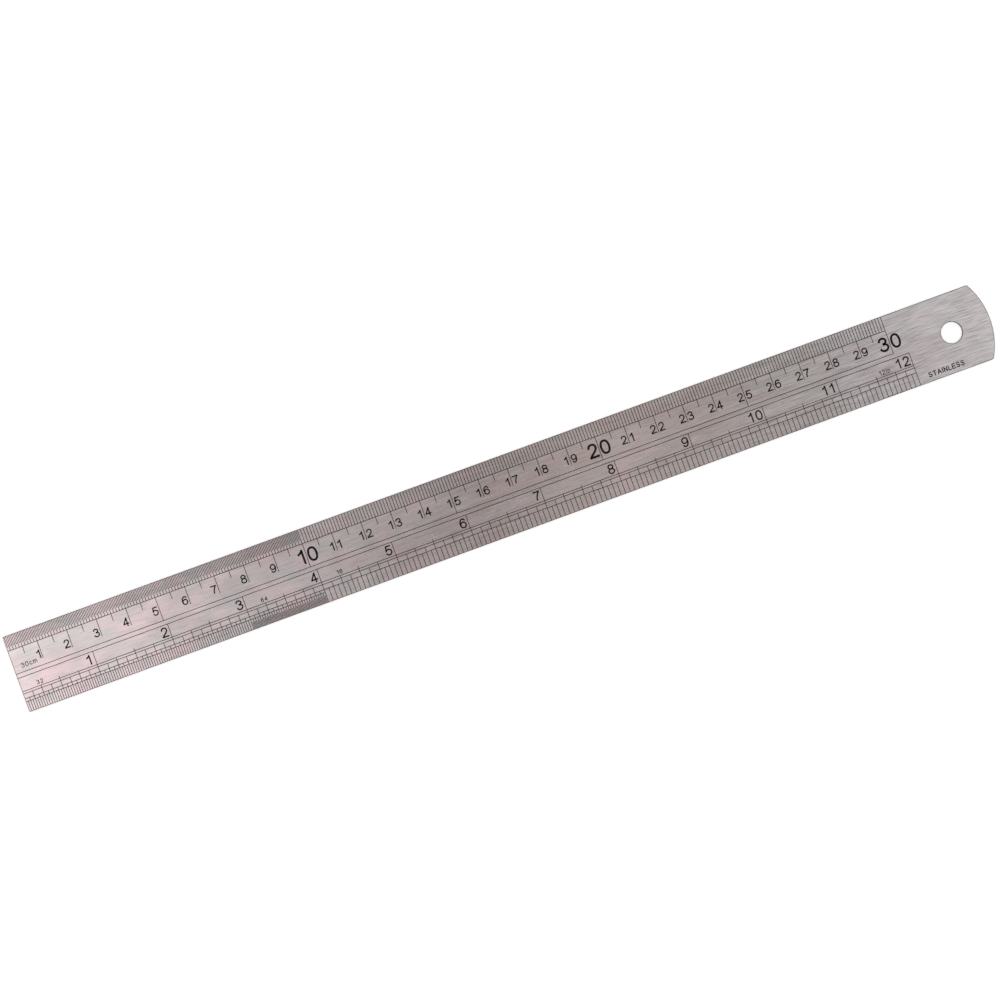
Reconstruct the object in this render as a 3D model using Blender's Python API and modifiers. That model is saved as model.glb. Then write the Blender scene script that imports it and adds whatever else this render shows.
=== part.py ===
"""A 300 mm / 12 in steel ruler: one blanked strip of stainless steel with a rounded, drilled end,
and the black enamel that fills its two etched scales.

The ruler lies on its back. +X runs along it from the zero end to the rounded end, the metric edge
is towards +Y, the inch edge towards -Y, and the marked face looks up. The origin is the middle of
the footprint, on the back face. Everything is in metres.
"""

import math

import bmesh
import bpy
from mathutils import Matrix, Vector

MM = 0.001
INCH = 25.4 * MM

# The steel strip
BLADE_WIDTH = 25.4 * MM
BLADE_LENGTH = 333.4 * MM  # zero end to the crown of the rounded end
BLADE_THICKNESS = 1.0 * MM
END_RADIUS = 25.4 * MM
END_STEPS = 32
EDGE_BREAK = 0.08 * MM  # the deburred rim of both faces

# The hole that the ruler hangs from
HOLE_DIAMETER = 7.0 * MM
HOLE_FROM_CROWN = 13.3 * MM
HOLE_STEPS = 64

# The enamel: a thin film of ruled lines and marks, standing just clear of the steel
LINE_WIDTH = 0.15 * MM
FILM_THICKNESS = 0.02 * MM
FILM_CLEARANCE = 0.01 * MM
FILM_TO_EDGE = 0.15 * MM  # the film stops this far short of the strip's edges

# The metric scale: how far its lines and marks reach across from the metric edge
METRIC_LENGTH_MM = 300
METRIC_UPPER_LINE = 4.8 * MM
METRIC_LOWER_LINE = 12.65 * MM
FIVE_MM_REACH = 7.2 * MM
CENTIMETRE_REACH = 10.65 * MM

# The inch scale: how far its lines and marks reach across from the inch edge
INCH_LENGTH_SIXTEENTHS = 192
SIXTEENTH_LINE = 4.4 * MM
EIGHTH_LINE = 6.05 * MM
QUARTER_LINE = 6.85 * MM
HALF_INCH_REACH = 7.7 * MM
INCH_LINE = 11.3 * MM

ZERO_X = -BLADE_LENGTH / 2
FILM_BOTTOM = BLADE_THICKNESS + FILM_CLEARANCE
WELD = 0.001 * MM

STEEL = {"color": (0.60, 0.58, 0.58, 1.0), "metallic": 1.0, "roughness": 0.35}
ENAMEL = {"color": (0.02, 0.018, 0.018, 1.0), "metallic": 0.0, "roughness": 0.5}


def clear_scene():
    for obj in list(bpy.data.objects):
        bpy.data.objects.remove(obj)


def new_collection(name):
    collection = bpy.data.collections.new(name)
    bpy.context.scene.collection.children.link(collection)
    return collection


def new_material(name, look):
    material = bpy.data.materials.new(name)
    material.use_nodes = True
    shader = material.node_tree.nodes["Principled BSDF"]
    shader.inputs["Base Color"].default_value = look["color"]
    shader.inputs["Metallic"].default_value = look["metallic"]
    shader.inputs["Roughness"].default_value = look["roughness"]
    return material


def new_object(name, mesh, collection, material):
    obj = bpy.data.objects.new(name, mesh)
    mesh.materials.clear()
    mesh.materials.append(material)
    collection.objects.link(obj)
    return obj


def rounded_end_points():
    """The arc of the far end, from the inch edge's corner over the crown to the metric edge's."""
    centre_x = ZERO_X + BLADE_LENGTH - END_RADIUS
    half_angle = math.asin(BLADE_WIDTH / 2 / END_RADIUS)
    for step in range(END_STEPS + 1):
        angle = half_angle * (2 * step / END_STEPS - 1)
        yield centre_x + END_RADIUS * math.cos(angle), END_RADIUS * math.sin(angle)


def hole_points():
    centre_x = ZERO_X + BLADE_LENGTH - HOLE_FROM_CROWN
    for step in range(HOLE_STEPS):
        angle = math.tau * step / HOLE_STEPS
        yield centre_x + HOLE_DIAMETER / 2 * math.cos(angle), HOLE_DIAMETER / 2 * math.sin(angle)


def add_closed_spline(curve, points):
    points = list(points)
    spline = curve.splines.new("POLY")
    spline.points.add(len(points) - 1)
    for point, (x, y) in zip(spline.points, points):
        point.co = (x, y, 0, 1)
    spline.use_cyclic_u = True


def mesh_from_curve(guide):
    """The curve's evaluated shape as one welded mesh, with the curve's own place baked in."""
    graph = bpy.context.evaluated_depsgraph_get()
    mesh = bpy.data.meshes.new_from_object(guide.evaluated_get(graph))
    mesh.transform(guide.matrix_world)
    shape = bmesh.new()
    shape.from_mesh(mesh)
    bmesh.ops.remove_doubles(shape, verts=shape.verts, dist=WELD)
    bmesh.ops.recalc_face_normals(shape, faces=shape.faces)
    shape.to_mesh(mesh)
    shape.free()
    return mesh


def make_blade(collection, material):
    """The strip: its outline and hole blanked from sheet, then the rims of both faces deburred."""
    curve = bpy.data.curves.new("blade_outline", "CURVE")
    curve.dimensions = "2D"
    curve.fill_mode = "BOTH"
    curve.extrude = BLADE_THICKNESS / 2
    zero_corners = [(ZERO_X, BLADE_WIDTH / 2), (ZERO_X, -BLADE_WIDTH / 2)]
    add_closed_spline(curve, zero_corners + list(rounded_end_points()))
    add_closed_spline(curve, hole_points())
    guide = bpy.data.objects.new("blade_outline", curve)
    guide.location.z = BLADE_THICKNESS / 2
    collection.objects.link(guide)
    bpy.context.view_layer.update()
    mesh = mesh_from_curve(guide)
    bpy.data.objects.remove(guide)

    blade = new_object("blade", mesh, collection, material)
    deburr = blade.modifiers.new("Deburred rims", "BEVEL")
    deburr.width = EDGE_BREAK
    deburr.segments = 1
    deburr.limit_method = "ANGLE"
    deburr.angle_limit = math.radians(60)
    mesh.shade_smooth()
    mesh.set_sharp_from_angle(angle=math.radians(30))
    return blade


def mark_pieces(reach, lines):
    """The stretches of one mark between the ruled lines that it meets, from the edge inwards."""
    start = FILM_TO_EDGE
    for line in lines:
        if reach < line:
            break
        yield start, line - LINE_WIDTH / 2
        start = line + LINE_WIDTH / 2
    if reach > start:
        yield start, reach


def line_pieces(line, marks):
    """The stretches of one ruled line, cut at the sides of every mark that meets it."""
    start = FILM_TO_EDGE
    for along, reach in marks:
        if reach < line:
            continue
        yield start, along - LINE_WIDTH / 2
        yield along - LINE_WIDTH / 2, along + LINE_WIDTH / 2
        start = along + LINE_WIDTH / 2


def add_rectangle(shape, along, across, edge_y):
    """One flat piece of enamel: along is measured from the zero end, across from the edge."""
    inwards = -math.copysign(1, edge_y)
    length = along[1] - along[0]
    width = across[1] - across[0]
    middle = Vector((ZERO_X + sum(along) / 2, edge_y + inwards * sum(across) / 2, FILM_BOTTOM))
    place = Matrix.Translation(middle) @ Matrix.Diagonal((length, width, 1, 1))
    bmesh.ops.create_grid(shape, x_segments=1, y_segments=1, size=0.5, matrix=place)


def metric_reach(millimetre):
    if millimetre % 50 == 0:
        return METRIC_LOWER_LINE
    if millimetre % 10 == 0:
        return CENTIMETRE_REACH
    if millimetre % 5 == 0:
        return FIVE_MM_REACH
    return METRIC_UPPER_LINE


def inch_reach(sixteenth):
    if sixteenth % 16 == 0:
        return INCH_LINE
    if sixteenth % 8 == 0:
        return HALF_INCH_REACH
    if sixteenth % 4 == 0:
        return QUARTER_LINE
    if sixteenth % 2 == 0:
        return EIGHTH_LINE
    return SIXTEENTH_LINE


def make_scale(name, edge_y, lines, pitch, count, reach_of, collection, material):
    """The enamel of one scale: a flat network of lines and marks, given the film's thickness."""
    marks = [(index * pitch, reach_of(index)) for index in range(1, count + 1)]
    shape = bmesh.new()
    for along, reach in marks:
        for across in mark_pieces(reach, lines):
            add_rectangle(shape, (along - LINE_WIDTH / 2, along + LINE_WIDTH / 2), across, edge_y)
    for line in lines:
        for along in line_pieces(line, marks):
            add_rectangle(shape, along, (line - LINE_WIDTH / 2, line + LINE_WIDTH / 2), edge_y)
    bmesh.ops.remove_doubles(shape, verts=shape.verts, dist=WELD)
    mesh = bpy.data.meshes.new(name)
    shape.to_mesh(mesh)
    shape.free()

    scale = new_object(name, mesh, collection, material)
    film = scale.modifiers.new("Film", "SOLIDIFY")
    film.thickness = FILM_THICKNESS
    film.offset = 1
    return scale


def main():
    clear_scene()
    parts = new_collection("steel_ruler")
    steel = new_material("brushed_stainless_steel", STEEL)
    make_blade(parts, steel)
    make_scale(
        name="metric_scale_infill",
        edge_y=BLADE_WIDTH / 2,
        lines=(METRIC_UPPER_LINE, METRIC_LOWER_LINE),
        pitch=MM,
        count=METRIC_LENGTH_MM,
        reach_of=metric_reach,
        collection=parts,
        material=new_material("metric_scale_enamel", ENAMEL),
    )
    make_scale(
        name="inch_scale_infill",
        edge_y=-BLADE_WIDTH / 2,
        lines=(SIXTEENTH_LINE, EIGHTH_LINE, QUARTER_LINE, INCH_LINE),
        pitch=INCH / 16,
        count=INCH_LENGTH_SIXTEENTHS,
        reach_of=inch_reach,
        collection=parts,
        material=new_material("inch_scale_enamel", ENAMEL),
    )


main()
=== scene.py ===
"""The looks of a 30 cm / 12 in steel ruler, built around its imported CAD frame."""

import math

import bmesh
import bpy
from mathutils import Matrix, Vector

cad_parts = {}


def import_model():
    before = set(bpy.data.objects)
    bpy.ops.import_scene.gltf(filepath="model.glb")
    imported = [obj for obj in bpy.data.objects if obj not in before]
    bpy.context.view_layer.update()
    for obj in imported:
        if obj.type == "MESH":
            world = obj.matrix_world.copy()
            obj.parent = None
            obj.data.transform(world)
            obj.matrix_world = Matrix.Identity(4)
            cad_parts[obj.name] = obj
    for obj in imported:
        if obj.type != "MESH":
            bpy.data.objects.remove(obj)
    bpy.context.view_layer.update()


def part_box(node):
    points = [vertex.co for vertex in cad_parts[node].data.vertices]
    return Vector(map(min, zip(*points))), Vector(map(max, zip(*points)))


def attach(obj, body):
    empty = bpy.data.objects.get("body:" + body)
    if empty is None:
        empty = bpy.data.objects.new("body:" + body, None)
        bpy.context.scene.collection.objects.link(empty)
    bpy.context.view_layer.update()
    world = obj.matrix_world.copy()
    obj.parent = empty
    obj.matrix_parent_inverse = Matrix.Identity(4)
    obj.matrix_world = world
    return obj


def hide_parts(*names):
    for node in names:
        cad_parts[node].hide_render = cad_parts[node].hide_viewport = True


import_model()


# --- The view ---------------------------------------------------------------------------------
# The ruler is looked at from nearly straight above, about a metre away, with its rounded end
# turned up to the right. The camera stands over the zero end's half and leans a little.
CAMERA_PLACE = Vector((-0.0379, -0.0007, 0.9960))
CAMERA_TURN = math.radians(20.09)
CAMERA_LEAN = math.radians(2.05)
CAMERA_LENS = 111.6
CAMERA_SENSOR = 36.0

camera_data = bpy.data.cameras.new("Camera")
camera_data.lens = CAMERA_LENS
camera_data.sensor_width = CAMERA_SENSOR
camera = bpy.data.objects.new("Camera", camera_data)
turned = Matrix.Rotation(-CAMERA_LEAN, 4, "Y") @ Matrix.Rotation(-CAMERA_TURN, 4, "Z")
camera.matrix_world = Matrix.Translation(CAMERA_PLACE) @ turned
bpy.context.scene.collection.objects.link(camera)
bpy.context.scene.camera = camera
bpy.context.scene.view_settings.view_transform = "Standard"


# --- The studio -------------------------------------------------------------------------------
# A plain white table, lit softly from within, under a white tent. The stretch of the tent right
# overhead is uneven, darkest around the camera's own opening. None of it belongs to the ruler.
TABLE_SIZE = 3.0
TABLE_WHITE = (0.93, 0.93, 0.93, 1.0)
TABLE_ROUGHNESS = 0.9
TABLE_GLOW = 0.4
TENT_SPAN = 0.5  # the overhead stretch, as the slope of a ray along the ruler
TENT_WHITE = (1.0, 0.97, 0.98)
TENT_PINK = (1.0, 0.87, 0.88)
TENT_WARM = (1.0, 0.86, 0.80)
TENT_OVERHEAD = (  # slope along the ruler, and the tent's brightness and colour there
    (-0.50, 1.10, TENT_WHITE),
    (-0.30, 1.20, TENT_WHITE),
    (-0.20, 1.50, TENT_WHITE),
    (-0.12, 1.20, TENT_PINK),
    (-0.09, 1.10, TENT_PINK),
    (-0.06, 0.60, TENT_PINK),
    (-0.03, 0.62, TENT_WHITE),
    (0.00, 0.62, TENT_PINK),
    (0.02, 0.30, TENT_PINK),
    (0.035, 0.20, TENT_PINK),
    (0.05, 0.34, TENT_PINK),
    (0.07, 0.92, TENT_WARM),
    (0.10, 0.51, TENT_WARM),
    (0.16, 0.46, TENT_WHITE),
    (0.20, 1.08, TENT_WHITE),
    (0.50, 1.10, TENT_WHITE),
)
HORIZON_DIM = 0.35  # how bright the tent is near the table, against higher up
HORIZON_HEIGHTS = (0.3, 0.65)  # sines of the elevations between which it brightens

table_mesh = bpy.data.meshes.new("table")
table_shape = bmesh.new()
bmesh.ops.create_grid(table_shape, x_segments=1, y_segments=1, size=TABLE_SIZE / 2)
table_shape.to_mesh(table_mesh)
table_shape.free()
table = bpy.data.objects.new("table", table_mesh)
table_white = bpy.data.materials.new("table_white")
table_white.use_nodes = True
table_shader = table_white.node_tree.nodes["Principled BSDF"]
table_shader.inputs["Base Color"].default_value = TABLE_WHITE
table_shader.inputs["Roughness"].default_value = TABLE_ROUGHNESS
table_shader.inputs["Emission Color"].default_value = TABLE_WHITE
table_shader.inputs["Emission Strength"].default_value = TABLE_GLOW
table_mesh.materials.append(table_white)
bpy.context.scene.collection.objects.link(table)


def node(tree, kind, place, **settings):
    made = tree.nodes.new(kind)
    made.location = place
    for name, value in settings.items():
        setattr(made, name, value)
    return made


def ramp(tree, place, factor, stops):
    """A colour ramp through (position, colour) stops."""
    made = node(tree, "ShaderNodeValToRGB", place)
    first, last = made.color_ramp.elements
    first.position, first.color = stops[0]
    last.position, last.color = stops[-1]
    for position, color in stops[1:-1]:
        made.color_ramp.elements.new(position).color = color
    tree.links.new(factor, made.inputs["Fac"])
    return made.outputs["Color"]


def map_range(tree, place, value, given, wanted):
    """A number carried linearly from the given range to the wanted one, and held at its ends."""
    made = node(tree, "ShaderNodeMapRange", place)
    made.inputs["From Min"].default_value, made.inputs["From Max"].default_value = given
    made.inputs["To Min"].default_value, made.inputs["To Max"].default_value = wanted
    tree.links.new(value, made.inputs["Value"])
    return made.outputs["Result"]


def tent_world():
    """The tent as a world: its colour changes along the ruler and falls off at the horizon."""
    world = bpy.data.worlds.new("studio_tent")
    world.use_nodes = True
    tree = world.node_tree
    direction = node(tree, "ShaderNodeTexCoord", (-1200, 0)).outputs["Generated"]
    parts = node(tree, "ShaderNodeSeparateXYZ", (-1000, 0))
    tree.links.new(direction, parts.inputs["Vector"])
    ray = node(tree, "ShaderNodeMath", (-800, 100), operation="DIVIDE")
    tree.links.new(parts.outputs["X"], ray.inputs[0])
    tree.links.new(parts.outputs["Z"], ray.inputs[1])
    along = map_range(tree, (-600, 100), ray.outputs["Value"], (-TENT_SPAN, TENT_SPAN), (0, 1))
    stops = [
        ((slope / TENT_SPAN + 1) / 2, (*(bright * part for part in tint), 1))
        for slope, bright, tint in TENT_OVERHEAD
    ]
    height = map_range(tree, (-600, -200), parts.outputs["Z"], HORIZON_HEIGHTS, (HORIZON_DIM, 1))
    light = tree.nodes["Background"]
    tree.links.new(ramp(tree, (-400, 100), along, stops), light.inputs["Color"])
    tree.links.new(height, light.inputs["Strength"])
    return world


bpy.context.scene.world = tent_world()


# --- The blade --------------------------------------------------------------------------------
# One strip of stainless steel, blanked from sheet: square at the zero end, rounded at the other,
# with a hole to hang it from. Both faces are brushed lengthwise, and the rims are deburred.
MM = 0.001
blade_low, blade_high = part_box("blade")
ZERO_X = blade_low.x
CROWN_X = blade_high.x
METRIC_EDGE = blade_high.y
INCH_EDGE = blade_low.y
FACE_Z = blade_high.z
END_RADIUS = 25.4 * MM
END_STEPS = 96
HOLE_RADIUS = 3.5 * MM
HOLE_FROM_CROWN = 13.3 * MM
HOLE_STEPS = 96
RIM_BREAK = 0.2 * MM
RIM_STEPS = 3
WELD = 0.001 * MM
SAME_PLANE = math.radians(1)  # faces that meet at less than this are merged into one
CORNER = math.radians(60)  # edges that turn by more than this are broken
CREASE = math.radians(35)  # and those that still turn by more than this stay sharp
FLAT_FACE = 0.99  # a side whose normal is this upright belongs to the front or the back
HAIRLINE = (6 * MM, 0.24 * MM)  # length and width of each scale of brushing
STREAK = (20 * MM, 0.9 * MM)
CLOUD = (28 * MM, 12 * MM)
SCRATCH = (70 * MM, 4 * MM)
MOTTLE = (10 * MM, 8 * MM)
MOTTLED_FROM = ZERO_X / 2  # the pinkish and greyish patches start to fade here
MOTTLED_UP_TO = 50 * MM  # and are gone this far past the ruler's middle
BEND_SIZE = 11 * MM  # how far apart the brushing sways to and fro
BEND_STRAIGHT = 0.3 * MM  # by how much it sways along the scales
BEND_WAVY = 1.6 * MM  # and by how much at the rounded end
WAVY_FROM = 0.6 * CROWN_X  # where the swaying starts to grow
PIT_SPACING = 5 * MM
FINE_BRUSHING = 0.45  # how strongly the brushing shows along the zero end's half
STEEL_TINTS = [  # warm where the noise is low or high, and a greener grey between
    (0.34, (0.77, 0.70, 0.71, 1)),
    (0.46, (0.79, 0.74, 0.74, 1)),
    (0.55, (0.79, 0.78, 0.77, 1)),
    (0.68, (0.87, 0.79, 0.81, 1)),
]
MOTTLE_TINTS = [(0.36, (1.10, 1.04, 1.05, 1)), (0.64, (0.90, 0.96, 0.95, 1))]
STEEL_ROUGHNESS = (0.22, 0.3)
STREAK_RANGE = (0.25, 0.75)  # the streaks' noise, over which the roughness changes
HAIRLINE_RELIEF = 0.3
HAIRLINE_DEPTH = 0.008 * MM
NOISE_DETAIL = 3.0
NOISE_ROUGHNESS = 0.6
HAIR_SHADES = [(0.34, 0.5), (0.5, 0.77), (0.6, 0.84), (0.72, 1.0)]
STREAK_SHADES = [(0.32, 0.82), (0.66, 1.0)]
SCRATCH_SHADES = [(0.0, 0.84), (0.006, 1.0)]
PIT_SHADES = [(0.02, 0.55), (0.045, 1.0)]
# Painted shade: the broken rims and cut sides, the hole's wall too, are darkened to 0.18 of the
# steel's colour, in place of the shade along the edges.
RIM_PAINTED_SHADES = [(0.0, 1.0), (1.0, 0.18)]


def closed_outline(curve, points):
    spline = curve.splines.new("POLY")
    spline.points.add(len(points) - 1)
    for point, (x, y) in zip(spline.points, points):
        point.co = (x, y, 0, 1)
    spline.use_cyclic_u = True


def arc(centre_x, radius, first, last, steps):
    """Points from the angle first to the angle last, about a centre on the ruler's middle line."""
    for step in range(steps + 1):
        angle = first + (last - first) * step / steps
        yield centre_x + radius * math.cos(angle), radius * math.sin(angle)


def linked_object(name, data):
    made = bpy.data.objects.new(name, data)
    bpy.context.scene.collection.objects.link(made)
    return made


def plain_mesh(piece):
    """The evaluated shape of an object, as a mesh with nothing live left on it."""
    bpy.context.view_layer.update()
    graph = bpy.context.evaluated_depsgraph_get()
    return bpy.data.meshes.new_from_object(piece.evaluated_get(graph))


def blanked_strip():
    """The strip's outline and hole, extruded to its thickness and welded closed."""
    curve = bpy.data.curves.new("blade_outline", "CURVE")
    curve.dimensions = "2D"
    curve.fill_mode = "BOTH"
    curve.extrude = (blade_high.z - blade_low.z) / 2
    half_angle = math.asin(METRIC_EDGE / END_RADIUS)
    rounded = list(arc(CROWN_X - END_RADIUS, END_RADIUS, -half_angle, half_angle, END_STEPS))
    closed_outline(curve, [(ZERO_X, METRIC_EDGE), (ZERO_X, INCH_EDGE)] + rounded)
    hole = list(arc(CROWN_X - HOLE_FROM_CROWN, HOLE_RADIUS, 0, math.tau, HOLE_STEPS))
    closed_outline(curve, hole[:-1])
    guide = linked_object("blade_outline", curve)
    mesh = plain_mesh(guide)
    bpy.data.objects.remove(guide)
    mesh.transform(Matrix.Translation((0, 0, (blade_low.z + blade_high.z) / 2)))
    shape = bmesh.new()
    shape.from_mesh(mesh)
    bmesh.ops.remove_doubles(shape, verts=shape.verts, dist=WELD)
    bmesh.ops.dissolve_limit(
        shape, angle_limit=SAME_PLANE, verts=shape.verts, edges=shape.edges
    )
    bmesh.ops.recalc_face_normals(shape, faces=shape.faces)
    shape.to_mesh(mesh)
    shape.free()
    return mesh


def add_brushing_uv(mesh):
    """A UV map whose U runs across the brushing, which is the way it spreads reflections."""
    layer = mesh.uv_layers.new(name="across_brushing")
    for loop in mesh.loops:
        place = mesh.vertices[loop.vertex_index].co
        layer.data[loop.index].uv = (place.y + place.z, place.x + place.z)


def mark_rims(mesh):
    """Sets the attribute rim to 1 on the broken edges and cut sides, and shades them smooth.

    On both faces it is 0, and they are shaded flat. Where it is 1, the steel darkens its colour
    with painted shade.
    """
    rim = mesh.attributes.new("rim", "FLOAT", "FACE")
    for side in mesh.polygons:
        flat = abs(side.normal.z) > FLAT_FACE
        rim.data[side.index].value = 0.0 if flat else 1.0
        side.use_smooth = not flat


def grey_ramp(tree, place, factor, stops):
    """A ramp of greys through (position, brightness) stops."""
    colors = [(position, (value, value, value, 1)) for position, value in stops]
    return ramp(tree, place, factor, colors)


def math_node(tree, place, operation, first, second):
    made = node(tree, "ShaderNodeMath", place, operation=operation)
    for socket, value in zip(made.inputs, (first, second)):
        if isinstance(value, bpy.types.NodeSocket):
            tree.links.new(value, socket)
        else:
            socket.default_value = value
    return made.outputs["Value"]


def noise(tree, place, vector, scale, detail=NOISE_DETAIL):
    """Noise at a scale for each axis, in features to the metre."""
    mapping = node(tree, "ShaderNodeMapping", place)
    mapping.inputs["Scale"].default_value = scale
    made = node(tree, "ShaderNodeTexNoise", (place[0] + 200, place[1]))
    made.inputs["Scale"].default_value = 1.0
    made.inputs["Detail"].default_value = detail
    made.inputs["Roughness"].default_value = NOISE_ROUGHNESS
    tree.links.new(vector, mapping.inputs["Vector"])
    tree.links.new(mapping.outputs["Vector"], made.inputs["Vector"])
    return made.outputs["Fac"]


def brushing(tree, place, vector, size):
    """Noise drawn out along the ruler into streaks of about the given length and width."""
    length, width = size
    return noise(tree, place, vector, (1 / length, 1 / width, 1 / width))


def swaying_coordinates(tree):
    """Object coordinates that sway a little across the ruler, more so towards the rounded end."""
    straight = node(tree, "ShaderNodeTexCoord", (-2400, 0)).outputs["Object"]
    parts = node(tree, "ShaderNodeSeparateXYZ", (-2200, 300))
    tree.links.new(straight, parts.inputs["Vector"])
    bend = (BEND_STRAIGHT, BEND_WAVY)
    reach = map_range(tree, (-2000, 300), parts.outputs["X"], (WAVY_FROM, CROWN_X), bend)
    sway = noise(tree, (-2200, -200), straight, (1 / BEND_SIZE,) * 3, detail=1.0)
    centred = math_node(tree, (-1800, -200), "SUBTRACT", sway, 0.5)
    shift = math_node(tree, (-1600, 0), "MULTIPLY", centred, reach)
    bent = math_node(tree, (-1400, 200), "ADD", parts.outputs["Y"], shift)
    joined = node(tree, "ShaderNodeCombineXYZ", (-1200, 300))
    tree.links.new(parts.outputs["X"], joined.inputs["X"])
    tree.links.new(bent, joined.inputs["Y"])
    tree.links.new(parts.outputs["Z"], joined.inputs["Z"])
    return joined.outputs["Vector"]


def shaded(tree, place, color, shade, strength=None):
    """A colour multiplied by a shade, wholly or as far as a strength from the nodes says."""
    made = node(tree, "ShaderNodeMix", place, data_type="RGBA", blend_type="MULTIPLY")
    made.inputs["Factor"].default_value = 1.0
    if strength:
        tree.links.new(strength, made.inputs["Factor"])
    first, second = [socket for socket in made.inputs if socket.type == "RGBA"]
    tree.links.new(color, first)
    tree.links.new(shade, second)
    return next(socket for socket in made.outputs if socket.type == "RGBA")


def brushed_steel():
    """Satin stainless steel: brushing at three scales, with scratches, pits and faint patches, and
    painted shade that darkens the rims.
    """
    material = bpy.data.materials.new("brushed_steel")
    material.use_nodes = True
    tree = material.node_tree
    shader = tree.nodes["Principled BSDF"]
    vector = swaying_coordinates(tree)
    hairlines = brushing(tree, (-1000, 900), vector, HAIRLINE)
    streaks = brushing(tree, (-1000, 600), vector, STREAK)
    clouds = brushing(tree, (-1000, 300), vector, CLOUD)
    scratches = brushing(tree, (-1000, 0), vector, SCRATCH)
    off_middle = math_node(tree, (-600, 0), "SUBTRACT", scratches, 0.5)
    beside_scratch = math_node(tree, (-500, 0), "ABSOLUTE", off_middle, 0.0)
    pits = node(tree, "ShaderNodeTexVoronoi", (-800, -300))
    pits.inputs["Scale"].default_value = 1 / PIT_SPACING
    tree.links.new(vector, pits.inputs["Vector"])
    rim = node(tree, "ShaderNodeAttribute", (-800, -600), attribute_name="rim")
    along = node(tree, "ShaderNodeSeparateXYZ", (-1000, 1200))
    tree.links.new(vector, along.inputs["Vector"])
    coarseness = map_range(
        tree, (-800, 1200), along.outputs["X"], (0, CROWN_X), (FINE_BRUSHING, 1)
    )
    mottled = map_range(
        tree, (-800, 1500), along.outputs["X"], (MOTTLED_FROM, MOTTLED_UP_TO), (1, 0)
    )
    patches = brushing(tree, (-1000, 1800), vector, MOTTLE)
    tints = ramp(tree, (-300, 300), clouds, STEEL_TINTS)
    patch_tints = ramp(tree, (-300, 1500), patches, MOTTLE_TINTS)
    hair_shade = grey_ramp(tree, (-300, 900), hairlines, HAIR_SHADES)
    streak_shade = grey_ramp(tree, (-300, 600), streaks, STREAK_SHADES)
    scratch_shade = grey_ramp(tree, (-300, 0), beside_scratch, SCRATCH_SHADES)
    pit_shade = grey_ramp(tree, (-300, -300), pits.outputs["Distance"], PIT_SHADES)
    # Painted shade: darkens the steel's colour on the rims and in the hole.
    rim_painted_shade = grey_ramp(tree, (-300, -600), rim.outputs["Fac"], RIM_PAINTED_SHADES)
    color = shaded(tree, (0, 300), tints, hair_shade, coarseness)
    color = shaded(tree, (200, 300), color, streak_shade, coarseness)
    color = shaded(tree, (400, 300), color, scratch_shade)
    color = shaded(tree, (600, 300), color, pit_shade)
    color = shaded(tree, (800, 300), color, patch_tints, mottled)
    color = shaded(tree, (1000, 300), color, rim_painted_shade)
    tree.links.new(color, shader.inputs["Base Color"])
    rough = map_range(tree, (-300, -900), streaks, STREAK_RANGE, STEEL_ROUGHNESS)
    tree.links.new(rough, shader.inputs["Roughness"])
    bump = node(tree, "ShaderNodeBump", (0, -500))
    bump.inputs["Strength"].default_value = HAIRLINE_RELIEF
    bump.inputs["Distance"].default_value = HAIRLINE_DEPTH
    tree.links.new(hairlines, bump.inputs["Height"])
    tree.links.new(bump.outputs["Normal"], shader.inputs["Normal"])
    tangent = node(tree, "ShaderNodeTangent", (0, -700), direction_type="UV_MAP")
    tangent.uv_map = "across_brushing"
    tree.links.new(tangent.outputs["Tangent"], shader.inputs["Tangent"])
    shader.inputs["Metallic"].default_value = 1.0
    shader.inputs["Anisotropic"].default_value = 1.0
    return material


blade = linked_object("brushed_blade", blanked_strip())
deburr = blade.modifiers.new("Deburred rims", "BEVEL")
deburr.width = RIM_BREAK
deburr.segments = RIM_STEPS
deburr.limit_method = "ANGLE"
deburr.angle_limit = CORNER
blade.data = plain_mesh(blade)
blade.modifiers.clear()
blade.data.materials.clear()
blade.data.materials.append(brushed_steel())
blade.data.set_sharp_from_angle(angle=CREASE)
mark_rims(blade.data)
add_brushing_uv(blade.data)
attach(blade, "root")
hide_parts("blade")


# --- The metric scale -------------------------------------------------------------------------
# Grooves etched through a printed mask and filled with black enamel, along the upper edge: half
# millimetres over the first ten centimetres, and millimetres to thirty. Two lines run beside it.
ENAMEL_SINK = 0.03 * MM  # how far the enamel reaches into the steel
ENAMEL_STAND = 0.004 * MM  # and how little it stands above it
ENAMEL_PATCHES = (700, 700, 700)  # worn patches and grains to the metre, each way
ENAMEL_GRAINS = (5000, 5000, 5000)
ENAMEL_SHADES = [(0.4, (0.003, 0.0026, 0.0026, 1)), (0.75, (0.012, 0.011, 0.011, 1))]
ENAMEL_ROUGHNESS = (0.5, 0.7)
PATCH_RANGE = (0.3, 0.7)  # the patches' noise, over which the roughness changes
GRAIN_RELIEF = 0.3
GRAIN_DEPTH = 0.005 * MM
ENAMEL_SHINE = 0.12
BAR_WIDTH = 0.2 * MM
METRIC_LENGTH = 300 * MM
HALF_MM_REACH = 3.65 * MM  # the reaches and lines are measured across from the metric edge
METRIC_UPPER_LINE = 4.8 * MM
FIVE_MM_REACH = 7.2 * MM
CENTIMETRE_REACH = 10.65 * MM
METRIC_LOWER_LINE = 12.65 * MM


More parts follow.
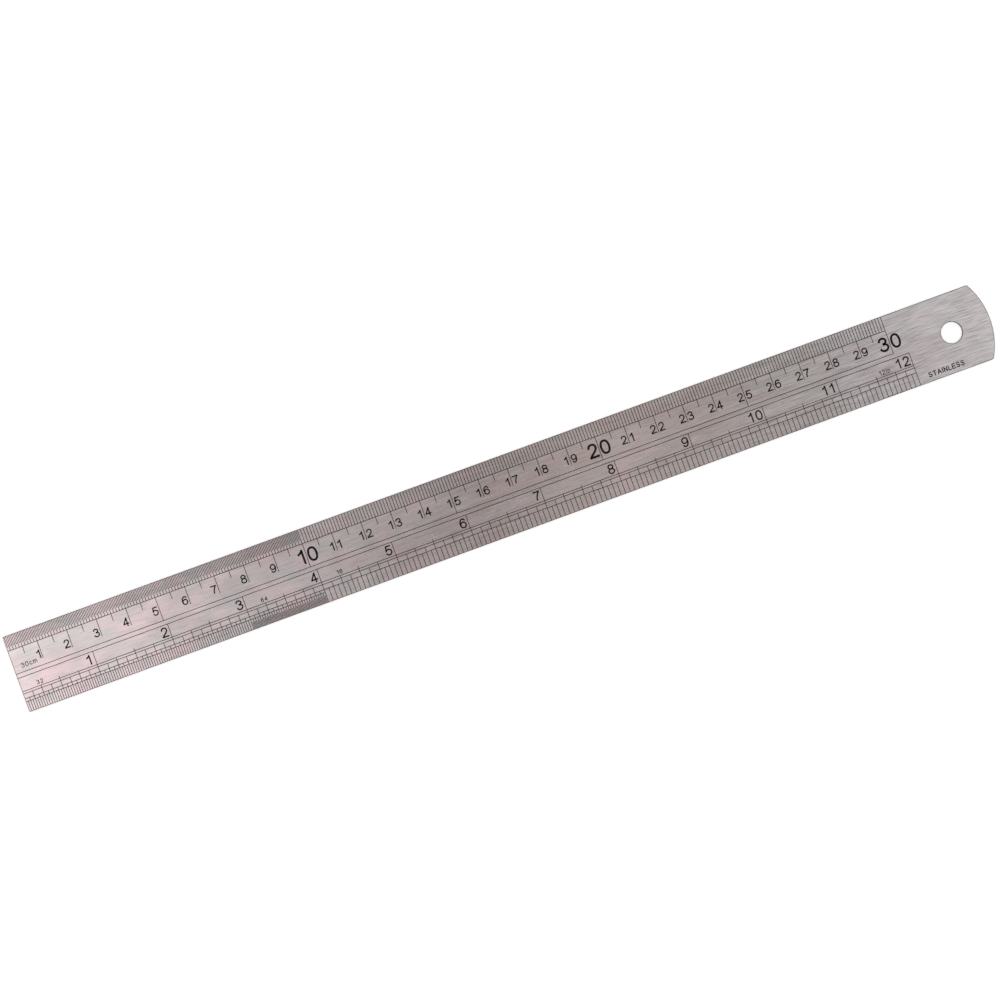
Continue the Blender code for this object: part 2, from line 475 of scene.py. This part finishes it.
def etching_enamel():
    """Matt black enamel, a little thinner and greyer in patches where it was wiped level."""
    material = bpy.data.materials.new("etching_enamel")
    material.use_nodes = True
    tree = material.node_tree
    shader = tree.nodes["Principled BSDF"]
    coordinates = node(tree, "ShaderNodeTexCoord", (-900, 0)).outputs["Object"]
    patches = noise(tree, (-700, 0), coordinates, ENAMEL_PATCHES)
    grain = noise(tree, (-700, -400), coordinates, ENAMEL_GRAINS)
    tree.links.new(ramp(tree, (-300, 0), patches, ENAMEL_SHADES), shader.inputs["Base Color"])
    rough = map_range(tree, (-300, -300), patches, PATCH_RANGE, ENAMEL_ROUGHNESS)
    tree.links.new(rough, shader.inputs["Roughness"])
    bump = node(tree, "ShaderNodeBump", (-200, -600))
    bump.inputs["Strength"].default_value = GRAIN_RELIEF
    bump.inputs["Distance"].default_value = GRAIN_DEPTH
    tree.links.new(grain, bump.inputs["Height"])
    tree.links.new(bump.outputs["Normal"], shader.inputs["Normal"])
    shader.inputs["Specular IOR Level"].default_value = ENAMEL_SHINE
    return material


def ruled_bars_tree():
    """Evenly stepped bars of one size, added to whatever the tree is given."""
    tree = bpy.data.node_groups.new("Ruled bars", "GeometryNodeTree")
    face = tree.interface
    face.new_socket("Geometry", in_out="INPUT", socket_type="NodeSocketGeometry")
    face.new_socket("First bar", in_out="INPUT", socket_type="NodeSocketVector")
    face.new_socket("Step", in_out="INPUT", socket_type="NodeSocketVector")
    face.new_socket("Bars", in_out="INPUT", socket_type="NodeSocketInt")
    face.new_socket("Bar size", in_out="INPUT", socket_type="NodeSocketVector")
    face.new_socket("Finish", in_out="INPUT", socket_type="NodeSocketMaterial")
    face.new_socket("Geometry", in_out="OUTPUT", socket_type="NodeSocketGeometry")
    given = node(tree, "NodeGroupInput", (-600, 0))
    line = node(tree, "GeometryNodeMeshLine", (-400, 100), mode="OFFSET")
    bar = node(tree, "GeometryNodeMeshCube", (-400, -200))
    placed = node(tree, "GeometryNodeInstanceOnPoints", (-200, 0))
    joined = node(tree, "GeometryNodeJoinGeometry", (0, 0))
    real = node(tree, "GeometryNodeRealizeInstances", (200, 0))
    finished = node(tree, "GeometryNodeSetMaterial", (400, 0))
    result = node(tree, "NodeGroupOutput", (600, 0))
    link = tree.links.new
    link(given.outputs["Bars"], line.inputs["Count"])
    link(given.outputs["First bar"], line.inputs["Start Location"])
    link(given.outputs["Step"], line.inputs["Offset"])
    link(given.outputs["Bar size"], bar.inputs["Size"])
    link(line.outputs["Mesh"], placed.inputs["Points"])
    link(bar.outputs["Mesh"], placed.inputs["Instance"])
    link(placed.outputs["Instances"], joined.inputs["Geometry"])
    link(given.outputs["Geometry"], joined.inputs["Geometry"])
    link(joined.outputs["Geometry"], real.inputs["Geometry"])
    link(real.outputs["Geometry"], finished.inputs["Geometry"])
    link(given.outputs["Finish"], finished.inputs["Material"])
    link(finished.outputs["Geometry"], result.inputs["Geometry"])
    return tree


def socket_identifiers(tree):
    items = tree.interface.items_tree
    return {item.name: item.identifier for item in items if item.in_out == "INPUT"}


ENAMEL = etching_enamel()
ENAMEL_DEPTH = ENAMEL_SINK + ENAMEL_STAND
ENAMEL_MIDDLE = FACE_Z + (ENAMEL_STAND - ENAMEL_SINK) / 2
BARS = ruled_bars_tree()
BAR_SOCKETS = socket_identifiers(BARS)


def join_ends(mesh):
    """Joins the bars that meet end to end, and drops the faces between them."""
    shape = bmesh.new()
    shape.from_mesh(mesh)
    bmesh.ops.remove_doubles(shape, verts=shape.verts, dist=WELD)
    inner = [face for face in shape.faces if all(len(edge.link_faces) > 2 for edge in face.edges)]
    bmesh.ops.delete(shape, geom=inner, context="FACES_ONLY")
    shape.to_mesh(mesh)
    shape.free()


class Scale:
    """One etched scale. Every place across it is measured from the edge it belongs to."""

    def __init__(self, name, edge_y):
        self.edge_y = edge_y
        self.inwards = -math.copysign(1, edge_y)
        self.piece = linked_object(name, bpy.data.meshes.new(name))

    def add(self, name, middle_x, across, step, bars, size):
        made = self.piece.modifiers.new(name, "NODES")
        made.node_group = BARS
        middle_y = self.edge_y + self.inwards * across
        made[BAR_SOCKETS["First bar"]] = (middle_x, middle_y, ENAMEL_MIDDLE)
        made[BAR_SOCKETS["Step"]] = (step, 0.0, 0.0)
        made[BAR_SOCKETS["Bars"]] = bars
        made[BAR_SOCKETS["Bar size"]] = (*size, ENAMEL_DEPTH)
        made[BAR_SOCKETS["Finish"]] = ENAMEL

    def line(self, name, across, length):
        """A line from the zero end to the far side of the scale's last mark."""
        drawn = length + BAR_WIDTH / 2 - RIM_BREAK
        self.add(name, ZERO_X + RIM_BREAK + drawn / 2, across, 0.0, 1, (drawn, BAR_WIDTH))

    def marks(self, name, pitch, bars, start, end, first=1, skip=1):
        """Marks at every skip-th pitch from the first, over the stretch from start to end."""
        middle_x = ZERO_X + first * pitch
        across = (start + end) / 2
        self.add(name, middle_x, across, skip * pitch, bars, (BAR_WIDTH, end - start))

    def finish(self, cad_node):
        self.piece.data = plain_mesh(self.piece)
        self.piece.modifiers.clear()
        join_ends(self.piece.data)
        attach(self.piece, "root")
        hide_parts(cad_node)


def before(line):
    """The side of a line that is nearer to the edge."""
    return line - BAR_WIDTH / 2


def beyond(line):
    """The side of a line that is further from the edge."""
    return line + BAR_WIDTH / 2


metric = Scale("metric_scale", METRIC_EDGE)
metric.line("Upper line", METRIC_UPPER_LINE, METRIC_LENGTH)
metric.line("Lower line", METRIC_LOWER_LINE, METRIC_LENGTH)
metric.marks("Half millimetres", 0.5 * MM, 100, RIM_BREAK, HALF_MM_REACH, skip=2)
metric.marks("Millimetres", MM, 300, RIM_BREAK, before(METRIC_UPPER_LINE))
metric.marks("Five millimetres", 5 * MM, 60, beyond(METRIC_UPPER_LINE), FIVE_MM_REACH)
metric.marks("Centimetres", 10 * MM, 30, FIVE_MM_REACH, CENTIMETRE_REACH)
metric.marks("Five centimetres", 50 * MM, 6, CENTIMETRE_REACH, before(METRIC_LOWER_LINE))
metric.finish("metric_scale_infill")


# --- The inch scale ---------------------------------------------------------------------------
# Etched and filled like the metric one, along the lower edge: thirty-seconds over the first four
# inches, with sixty-fourths in the fourth, and sixteenths to twelve. Lines cap the marks.
INCH = 25.4 * MM
SIXTY_FOURTH_REACH = 2.45 * MM  # the reaches and lines are measured across from the inch edge
THIRTY_SECOND_LINE = 3.44 * MM
SIXTEENTH_LINE = 4.4 * MM
EIGHTH_LINE = 6.05 * MM
QUARTER_LINE = 6.85 * MM
HALF_INCH_REACH = 7.7 * MM
INCH_LINE = 11.3 * MM

inches = Scale("inch_scale", INCH_EDGE)
inches.line("Thirty-second line", THIRTY_SECOND_LINE, 4 * INCH)
inches.line("Sixteenth line", SIXTEENTH_LINE, 12 * INCH)
inches.line("Eighth line", EIGHTH_LINE, 12 * INCH)
inches.line("Quarter line", QUARTER_LINE, 12 * INCH)
inches.line("Inch line", INCH_LINE, 12 * INCH)
inches.marks(
    "Sixty-fourths", INCH / 64, 32, RIM_BREAK, SIXTY_FOURTH_REACH, first=3 * 64 + 1, skip=2
)
inches.marks("Thirty-seconds", INCH / 32, 4 * 32, RIM_BREAK, before(THIRTY_SECOND_LINE))
inches.marks(
    "First sixteenths", INCH / 16, 4 * 16, beyond(THIRTY_SECOND_LINE), before(SIXTEENTH_LINE)
)
inches.marks(
    "Other sixteenths", INCH / 16, 8 * 16, RIM_BREAK, before(SIXTEENTH_LINE), first=4 * 16 + 1
)
inches.marks("Eighths", INCH / 8, 12 * 8, beyond(SIXTEENTH_LINE), before(EIGHTH_LINE))
inches.marks("Quarters", INCH / 4, 12 * 4, beyond(EIGHTH_LINE), before(QUARTER_LINE))
inches.marks("Half inches", INCH / 2, 12 * 2, beyond(QUARTER_LINE), HALF_INCH_REACH)
inches.marks("Inches", INCH, 12, HALF_INCH_REACH, before(INCH_LINE))
inches.finish("inch_scale_infill")


# --- The centimetre numerals ------------------------------------------------------------------
# Plain numerals of even stroke, etched and filled with the same enamel. Those above nine stand
# with a digit on each side of their mark, and every tenth is larger and bolder.
CM_HEIGHT = 2.86 * MM
CM_STROKE = 0.41 * MM
CM_BASE = METRIC_EDGE - 10.42 * MM
CM_GAP = 0.43 * MM  # from a mark to the ink beside it
TEN_HEIGHT = 4.8 * MM
TEN_STROKE = 0.7 * MM
TEN_BASE = METRIC_EDGE - 11.29 * MM
TEN_GAP = 0.42 * MM
FIRST_ONE_GAP = 0.3 * MM  # how much further a leading 1 stands from its mark
STRAIGHT = "straight"
SMOOTH = "smooth"
GLYPHS = {
    "0": [(SMOOTH, [(0.32, 1), (0.55, 0.88), (0.64, 0.5), (0.55, 0.12), (0.32, 0), (0.09, 0.12),
                    (0, 0.5), (0.09, 0.88), (0.32, 1)])],
    "1": [(STRAIGHT, [(0.38, 0), (0.38, 1)]), (SMOOTH, [(0.38, 0.98), (0.22, 0.83), (0, 0.72)])],
    "2": [(SMOOTH, [(0.03, 0.7), (0.1, 0.91), (0.32, 1), (0.54, 0.92), (0.61, 0.72), (0.53, 0.52),
                    (0.3, 0.29), (0.09, 0.12), (0, 0)]), (STRAIGHT, [(0, 0), (0.64, 0)])],
    "3": [(SMOOTH, [(0.02, 0.75), (0.1, 0.92), (0.31, 1), (0.52, 0.92), (0.58, 0.76), (0.49, 0.6),
                    (0.26, 0.54)]),
          (SMOOTH, [(0.26, 0.54), (0.53, 0.47), (0.64, 0.28), (0.54, 0.08), (0.31, 0), (0.09, 0.08),
                    (0, 0.26)])],
    "4": [(STRAIGHT, [(0.46, 1), (0.46, 0)]), (STRAIGHT, [(0.46, 1), (0, 0.29)]),
          (STRAIGHT, [(0, 0.27), (0.64, 0.27)])],
    "5": [(STRAIGHT, [(0.13, 1), (0.59, 1)]), (STRAIGHT, [(0.13, 1), (0.04, 0.48)]),
          (SMOOTH, [(0.04, 0.5), (0.17, 0.61), (0.33, 0.64), (0.54, 0.55), (0.64, 0.33),
                    (0.54, 0.09), (0.31, 0), (0.09, 0.08), (0, 0.26)])],
    "6": [(SMOOTH, [(0.61, 0.76), (0.53, 0.93), (0.36, 1), (0.14, 0.89), (0.02, 0.62), (0.01, 0.34),
                    (0.1, 0.09), (0.33, 0), (0.55, 0.09), (0.64, 0.32), (0.55, 0.55), (0.33, 0.63),
                    (0.12, 0.54), (0.01, 0.36)])],
    "7": [(STRAIGHT, [(0, 1), (0.64, 1)]), (SMOOTH, [(0.63, 0.98), (0.42, 0.68), (0.27, 0.34),
                                                     (0.21, 0)])],
    "8": [(SMOOTH, [(0.32, 1), (0.52, 0.93), (0.59, 0.77), (0.51, 0.61), (0.32, 0.54), (0.13, 0.61),
                    (0.05, 0.77), (0.12, 0.93), (0.32, 1)]),
          (SMOOTH, [(0.32, 0.54), (0.55, 0.46), (0.64, 0.27), (0.55, 0.08), (0.32, 0), (0.09, 0.08),
                    (0, 0.27), (0.09, 0.46), (0.32, 0.54)])],
    "9": [(SMOOTH, [(0.03, 0.24), (0.11, 0.07), (0.28, 0), (0.5, 0.11), (0.62, 0.38), (0.63, 0.66),
                    (0.54, 0.91), (0.31, 1), (0.09, 0.91), (0, 0.68), (0.09, 0.45), (0.31, 0.37),
                    (0.52, 0.46), (0.63, 0.64)])],
    "c": [(SMOOTH, [(0.5, 0.56), (0.42, 0.68), (0.28, 0.73), (0.08, 0.63), (0, 0.37), (0.08, 0.1),
                    (0.28, 0), (0.43, 0.06), (0.51, 0.2)])],
    "m": [(STRAIGHT, [(0, 0), (0, 0.73)]),
          (SMOOTH, [(0, 0.45), (0.08, 0.65), (0.25, 0.73), (0.38, 0.64), (0.4, 0.45), (0.4, 0)]),
          (SMOOTH, [(0.4, 0.45), (0.48, 0.65), (0.64, 0.73), (0.78, 0.64), (0.8, 0.45), (0.8, 0)])],
    "i": [(STRAIGHT, [(0, 0), (0, 0.73)]), (STRAIGHT, [(0, 0.93), (0, 1)])],
    "n": [(STRAIGHT, [(0, 0), (0, 0.73)]),
          (SMOOTH, [(0, 0.45), (0.09, 0.65), (0.28, 0.73), (0.44, 0.64), (0.47, 0.45), (0.47, 0)])],
    "S": [(SMOOTH, [(0.62, 0.73), (0.54, 0.92), (0.32, 1), (0.1, 0.92), (0.04, 0.75), (0.14, 0.58),
                    (0.34, 0.51), (0.56, 0.43), (0.66, 0.26), (0.57, 0.07), (0.33, 0), (0.09, 0.07),
                    (0, 0.28)])],
    "T": [(STRAIGHT, [(0, 1), (0.66, 1)]), (STRAIGHT, [(0.33, 1), (0.33, 0)])],
    "A": [(STRAIGHT, [(0, 0), (0.36, 1)]), (STRAIGHT, [(0.36, 1), (0.72, 0)]),
          (STRAIGHT, [(0.12, 0.34), (0.6, 0.34)])],
    "I": [(STRAIGHT, [(0, 0), (0, 1)])],
    "N": [(STRAIGHT, [(0, 0), (0, 1)]), (STRAIGHT, [(0, 1), (0.62, 0)]),
          (STRAIGHT, [(0.62, 0), (0.62, 1)])],
    "L": [(STRAIGHT, [(0, 0), (0, 1)]), (STRAIGHT, [(0, 0), (0.52, 0)])],
    "E": [(STRAIGHT, [(0, 0), (0, 1)]), (STRAIGHT, [(0, 1), (0.6, 1)]),
          (STRAIGHT, [(0, 0.52), (0.56, 0.52)]), (STRAIGHT, [(0, 0), (0.62, 0)])],
}
CURVE_STEPS = 5
RUN_ON = 0.49  # how far a straight stroke runs past each end, in widths of the stroke


def smooth_path(points):
    """A path through the points with no corners, by Catmull and Rom's rule."""
    closed = points[0] == points[-1]
    first = points[-2] if closed else points[0]
    last = points[1] if closed else points[-1]
    padded = [Vector(point) for point in (first, *points, last)]
    for a, b, c, d in zip(padded, padded[1:], padded[2:], padded[3:]):
        for step in range(CURVE_STEPS):
            t = step / CURVE_STEPS
            yield 0.5 * (2 * b + (c - a) * t + (2 * a - 5 * b + 4 * c - d) * t**2
                         + (3 * b - a - 3 * c + d) * t**3)
    if not closed:
        yield padded[-2]


def straight_path(points, overlap):
    """The two ends of a straight stroke, each run on a little, so that strokes overlap."""
    start, end = Vector(points[0]), Vector(points[1])
    run_on = (end - start).normalized() * overlap
    return [start - run_on, end + run_on]


def glyph_width(letter, height, stroke):
    """How wide a letter is over its ink."""
    rightmost = max(x for _, points in GLYPHS[letter] for x, _ in points)
    return rightmost * (height - stroke) + stroke


def add_glyph(curve, letter, left, base_y, height, stroke):
    """Adds one letter's strokes. left and base_y are the lower left corner of its ink."""
    size = height - stroke
    for kind, points in GLYPHS[letter]:
        if kind == SMOOTH:
            path = list(smooth_path(points))
        else:
            path = straight_path(points, RUN_ON * stroke / size)
        spline = curve.splines.new("POLY")
        spline.use_cyclic_u = points[0] == points[-1]
        spline.points.add(len(path) - 1)
        for point, place in zip(spline.points, path):
            x = left + stroke / 2 + place.x * size
            y = base_y + stroke / 2 + place.y * size
            point.co = (x, y, 0, 1)


def etched_strokes_tree():
    """Every path becomes a flat stroke of enamel of one width and depth."""
    tree = bpy.data.node_groups.new("Etched strokes", "GeometryNodeTree")
    face = tree.interface
    face.new_socket("Geometry", in_out="INPUT", socket_type="NodeSocketGeometry")
    face.new_socket("Stroke width", in_out="INPUT", socket_type="NodeSocketFloat")
    face.new_socket("Depth", in_out="INPUT", socket_type="NodeSocketFloat")
    face.new_socket("Finish", in_out="INPUT", socket_type="NodeSocketMaterial")
    face.new_socket("Geometry", in_out="OUTPUT", socket_type="NodeSocketGeometry")
    given = node(tree, "NodeGroupInput", (-600, 0))
    level = node(tree, "GeometryNodeSetCurveNormal", (-400, 100), mode="Z_UP")
    section = node(tree, "GeometryNodeCurvePrimitiveQuadrilateral", (-400, -150))
    swept = node(tree, "GeometryNodeCurveToMesh", (-200, 0))
    swept.inputs["Fill Caps"].default_value = True
    real = node(tree, "GeometryNodeRealizeInstances", (0, 0))
    finished = node(tree, "GeometryNodeSetMaterial", (200, 0))
    result = node(tree, "NodeGroupOutput", (400, 0))
    link = tree.links.new
    link(given.outputs["Geometry"], level.inputs["Curve"])
    link(given.outputs["Stroke width"], section.inputs["Width"])
    link(given.outputs["Depth"], section.inputs["Height"])
    link(level.outputs["Curve"], swept.inputs["Curve"])
    link(section.outputs["Curve"], swept.inputs["Profile Curve"])
    link(swept.outputs["Mesh"], real.inputs["Geometry"])
    link(real.outputs["Geometry"], finished.inputs["Geometry"])
    link(given.outputs["Finish"], finished.inputs["Material"])
    link(finished.outputs["Geometry"], result.inputs["Geometry"])
    return tree


STROKES = etched_strokes_tree()
STROKE_SOCKETS = socket_identifiers(STROKES)


def etch_letters(name, stroke, letters):
    """One piece of enamel from (letter, left, base_y, height) places that share a stroke width."""
    curve = bpy.data.curves.new(name, "CURVE")
    curve.dimensions = "3D"
    for letter, left, base_y, height in letters:
        add_glyph(curve, letter, left, base_y, height, stroke)
    guide = linked_object(name + "_paths", curve)
    etched = guide.modifiers.new("Etched strokes", "NODES")
    etched.node_group = STROKES
    etched[STROKE_SOCKETS["Stroke width"]] = stroke
    etched[STROKE_SOCKETS["Depth"]] = ENAMEL_DEPTH
    etched[STROKE_SOCKETS["Finish"]] = ENAMEL
    mesh = plain_mesh(guide)
    bpy.data.objects.remove(guide)
    mesh.name = name
    mesh.transform(Matrix.Translation((0, 0, ENAMEL_MIDDLE)))
    piece = linked_object(name, mesh)
    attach(piece, "root")


def centimetre_letters(height, stroke, base_y, numbers, gap):
    """Each digit of the numbers, with its place before or after the number's mark."""
    for number in numbers:
        mark_x = ZERO_X + number * 10 * MM
        first, *second = str(number)
        left = mark_x - gap - glyph_width(first, height, stroke)
        if second and first == "1":
            left -= FIRST_ONE_GAP
        yield first, left, base_y, height
        if second:
            yield second[0], mark_x + gap, base_y, height


small = [number for number in range(1, 30) if number % 10]
etch_letters(
    "centimetre_numerals", CM_STROKE,
    centimetre_letters(CM_HEIGHT, CM_STROKE, CM_BASE, small, CM_GAP),
)
etch_letters(
    "ten_centimetre_numerals", TEN_STROKE,
    centimetre_letters(TEN_HEIGHT, TEN_STROKE, TEN_BASE, (10, 20, 30), TEN_GAP),
)


# --- The inch numerals ------------------------------------------------------------------------
# The same enamel and the same plain digits, a little taller. Each numeral stands wholly on the
# zero side of its mark, and its digits keep cells of one width.
INCH_HEIGHT = 3.27 * MM
INCH_STROKE = 0.46 * MM
INCH_BASE = INCH_EDGE + 7.41 * MM
INCH_CELL = 2.5 * MM
INCH_CELL_GAP = 0.4 * MM


def inch_letters():
    """Each digit of the inch numerals, with its place."""
    for number in range(1, 13):
        digits = str(number)
        mark_x = ZERO_X + number * INCH
        for place, digit in enumerate(digits):
            left = mark_x - INCH_CELL_GAP - INCH_CELL * (len(digits) - place)
            yield digit, left, INCH_BASE, INCH_HEIGHT


etch_letters("inch_numerals", INCH_STROKE, inch_letters())


# --- The small labels -------------------------------------------------------------------------
# Fine lettering from the same etching: the unit at the start of the metric scale and the end of
# the inch one, the divisions where they change, and the steel's name beside the hole.
LABEL_STROKE = 0.22 * MM
LABEL_SPACE = 0.3 * MM
LABELS = (  # text, distance from the zero end, base line, height
    ("30cm", 2.5 * MM, METRIC_EDGE - 11.36 * MM, 1.6 * MM),
    ("32", 5.3 * MM, INCH_BASE, 1.4 * MM),
    ("64", 81.4 * MM, INCH_BASE, 1.4 * MM),
    ("16", 107.2 * MM, INCH_BASE, 1.4 * MM),
    ("12in", 293.3 * MM, INCH_BASE, 1.6 * MM),
)
STEEL_NAME_STROKE = 0.3 * MM
STEEL_NAME_SPACE = 0.28 * MM
STEEL_NAME = ("STAINLESS", 308.3 * MM, INCH_EDGE + 1.43 * MM, 1.75 * MM)


def label_letters(label, stroke, space):
    text, along, base_y, height = label
    left = ZERO_X + along
    for letter in text:
        yield letter, left, base_y, height
        left += glyph_width(letter, height, stroke) + space


def all_label_letters():
    for label in LABELS:
        yield from label_letters(label, LABEL_STROKE, LABEL_SPACE)


etch_letters("scale_labels", LABEL_STROKE, all_label_letters())
etch_letters(
    "steel_name", STEEL_NAME_STROKE,
    label_letters(STEEL_NAME, STEEL_NAME_STROKE, STEEL_NAME_SPACE),
)
